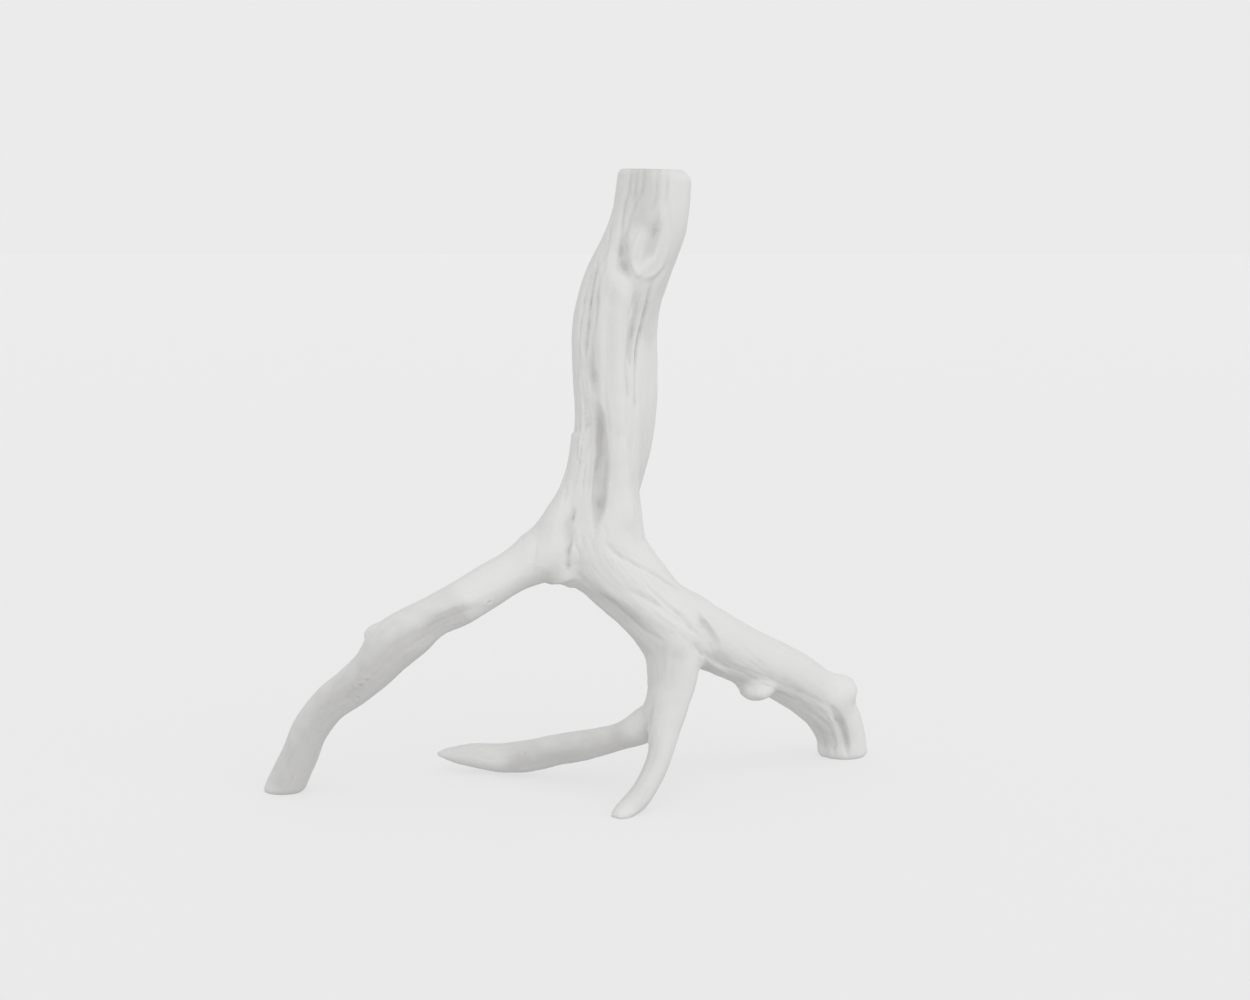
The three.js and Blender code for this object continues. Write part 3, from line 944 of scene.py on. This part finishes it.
class Maker:
    # adds nodes to one material
    def __init__(self, name):
        self.material = bpy.data.materials.new(name)
        self.material.use_nodes = True
        self.tree = self.material.node_tree
        self.shader = self.tree.nodes["Principled BSDF"]

    def add(self, kind, settings=None, values=()):
        node = self.tree.nodes.new(kind)
        for key, value in (settings or {}).items():
            if key == "stops":
                ramp = node.color_ramp.elements
                while len(ramp) < len(value):
                    ramp.new(0.5)
                for stop, (place, grey) in zip(ramp, value):
                    stop.position, stop.color = place, (grey, grey, grey, 1)
            else:
                setattr(node, key, value)
        pairs = values.items() if isinstance(values, dict) else enumerate(values)
        for key, value in pairs:
            self.put(node.inputs[key], value)
        return Node(self, node)

    def put(self, socket, value):
        if isinstance(value, Value):
            self.tree.links.new(value.socket, socket)
        else:
            socket.default_value = value

    def mix(self, factor, a, b):
        return self.add("ShaderNodeMix", {"data_type": "RGBA"}, {0: factor, 6: a, 7: b}).out(2)

    def attribute(self, name, out="Fac"):
        return self.add("ShaderNodeAttribute", {"attribute_name": name}).out(out)

    def stretch(self, vector, scale):
        return self.add("ShaderNodeVectorMath", {"operation": "MULTIPLY"}, (vector, scale)).out(0)

    def noise(self, vector, detail=3.0, roughness=0.55):
        values = {"Vector": vector, "Scale": 1.0, "Detail": detail, "Roughness": roughness}
        return self.add("ShaderNodeTexNoise", {}, values).out("Fac")

    def ramp(self, value, *stops):
        return self.add("ShaderNodeValToRGB", {"stops": stops}, (value,)).out("Color")


class Node:
    # an added node, whose outputs come out as values
    def __init__(self, maker, node):
        self.maker, self.node = maker, node

    def out(self, key):
        return Value(self.maker, self.node.outputs[key])


woodLook = {
    "pale": (0.705, 0.702, 0.697, 1),
    "grey": (0.615, 0.612, 0.606, 1),
    # deep is the tone of the painted shade and of the growth rings
    "deep": (0.45, 0.446, 0.438, 1),
    "roughness": 0.86,
    "specular": 0.25,
    "bump": 0.0010,               # metres
    "fibres": (900, 900, 40),     # how many per metre across, behind and along the grain
    "furrows": (420, 420, 18),
    "streaks": (150, 150, 8),
    "clouds": (22, 22, 22),       # how many per metre each way
    "specks": (700, 700, 700),
    "rings": 70.0,                # growth rings on the sawn ends
}


def bleachedWood():
    make = Maker("bleachedWood")
    grain = make.attribute("grain", "Vector")
    hollow = make.attribute("hollow")
    sawn = make.attribute("sawn")
    worn = make.attribute("worn")
    place = make.add("ShaderNodeTexCoord").out("Object")
    fibre = make.noise(make.stretch(grain, woodLook["fibres"]), 4)
    furrow = make.noise(make.stretch(grain, woodLook["furrows"]), 3)
    streak = make.noise(make.stretch(grain, woodLook["streaks"]), 3)
    cloud = make.noise(make.stretch(place, woodLook["clouds"]), 2)
    speck = make.noise(make.stretch(place, woodLook["specks"]), 2)
    ringValues = {"Vector": grain, "Scale": woodLook["rings"], "Distortion": 1.4, "Detail": 2.0}
    ringKind = {"wave_type": "RINGS", "rings_direction": "Z"}
    rings = make.add("ShaderNodeTexWave", ringKind, ringValues).out("Fac")
    # the hollows add painted shade here; the streaks and clouds are the wood's own uneven tone
    uneven = hollow * 0.14 + 0.42 + (streak - 0.5) * 0.5 + (cloud - 0.5) * 0.25
    shade = make.ramp(uneven, (0.42, 0), (0.95, 1))
    colour = make.mix(shade, woodLook["pale"], woodLook["grey"])
    # painted shade: darker in the hollows
    colour = make.mix(make.ramp(hollow, (0.1, 0), (0.9, 0.36), (2.0, 0.66)), colour, woodLook["deep"])
    colour = make.mix(make.ramp(fibre * (0.7 + 0.3 * worn), (0.52, 0), (0.8, 0.55)), colour, woodLook["grey"])
    # painted shade: darker on the undersides and on the listed bands
    colour = make.mix(make.attribute("dull") * 0.62, colour, woodLook["deep"])
    colour = make.mix(sawn * make.ramp(rings, (0.35, 1), (0.75, 0.3)) * 0.7, colour, woodLook["deep"])
    make.put(make.shader.inputs["Base Color"], colour)
    make.put(make.shader.inputs["Roughness"], woodLook["roughness"] + (fibre - 0.5) * 0.12)
    make.put(make.shader.inputs["Specular IOR Level"], woodLook["specular"])
    height = fibre * 0.4 + furrow * (0.5 + worn) + streak * 0.6 + speck * 0.2 + sawn * rings * 0.8
    bumpValues = {"Strength": 0.4, "Distance": woodLook["bump"], "Height": height}
    bump = make.add("ShaderNodeBump", {}, bumpValues)
    make.put(make.shader.inputs["Normal"], bump.out("Normal"))
    return make.material


studio = {
    "camera": (0.046, -2.040, 0.501),
    "pitch": 6.8,          # degrees that the camera looks down
    "focalLength": 66.24,
    "floorGrey": 0.22,
    "floorGlow": 0.594,    # keeps the shadow on the floor faint
    "floorReach": 40.0,    # metres from the middle to the floor's edge
    "skyGrey": 0.83,
    "sunStrength": 0.85,
    "sunAngle": 80,        # degrees across, for soft shadows
    "sunTurn": (52, 0, 30),
}


def buildStudio():
    make = Maker("studioFloor")
    grey, lighter = ((studio["floorGrey"] * share,) * 3 + (1,) for share in (1, 1.01))
    cloud = make.noise(make.stretch(make.add("ShaderNodeTexCoord").out("Object"), (2, 2, 2)))
    looks = {"Base Color": make.mix(cloud, grey, lighter), "Roughness": 0.95, "Specular IOR Level": 0.1,
             "Emission Color": (1, 1, 1, 1), "Emission Strength": studio["floorGlow"]}
    for name, value in looks.items():
        make.put(make.shader.inputs[name], value)
    mesh = bpy.data.meshes.new("floor")
    reach = studio["floorReach"]
    corners = [(-reach, -reach, 0), (reach, -reach, 0), (reach, reach, 0), (-reach, reach, 0)]
    mesh.from_pydata(corners, [], [(0, 1, 2, 3)])
    mesh.materials.append(make.material)
    floor = bpy.data.objects.new("floor", mesh)
    bpy.context.collection.objects.link(floor)

    sun = bpy.data.lights.new("softSun", "SUN")
    sun.energy = studio["sunStrength"]
    sun.angle = math.radians(studio["sunAngle"])
    lamp = bpy.data.objects.new("softSun", sun)
    lamp.rotation_euler = [math.radians(turn) for turn in studio["sunTurn"]]
    bpy.context.collection.objects.link(lamp)

    world = bpy.data.worlds.new("paleRoom")
    world.use_nodes = True
    back = world.node_tree.nodes["Background"]
    back.inputs["Color"].default_value = (studio["skyGrey"],) * 3 + (1,)
    back.inputs["Strength"].default_value = 1.0
    bpy.context.scene.world = world
    bpy.context.scene.view_settings.view_transform = "Standard"


def buildCamera():
    lens = bpy.data.cameras.new("camera")
    lens.lens = studio["focalLength"]
    lens.sensor_width = 36
    lens.clip_end = 200
    camera = bpy.data.objects.new("camera", lens)
    camera.location = studio["camera"]
    camera.rotation_euler = (math.radians(90 - studio["pitch"]), 0, 0)
    bpy.context.collection.objects.link(camera)
    bpy.context.scene.camera = camera


buildCamera()
buildStudio()
print("studio ready")
limbs = {name: Limb(**table) for name, table in limbTables.items()}
ribs = []
wood = bleachedWood()
rootMesh = shapeRoot(wood)
rootMesh.materials.clear()
rootMesh.materials.append(wood)
root = bpy.data.objects.new("bleached_root", rootMesh)
bpy.context.collection.objects.link(root)
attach(root, "root")
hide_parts("dry_root")
print("root ready:", sum(len(face.vertices) - 2 for face in rootMesh.polygons), "triangles")
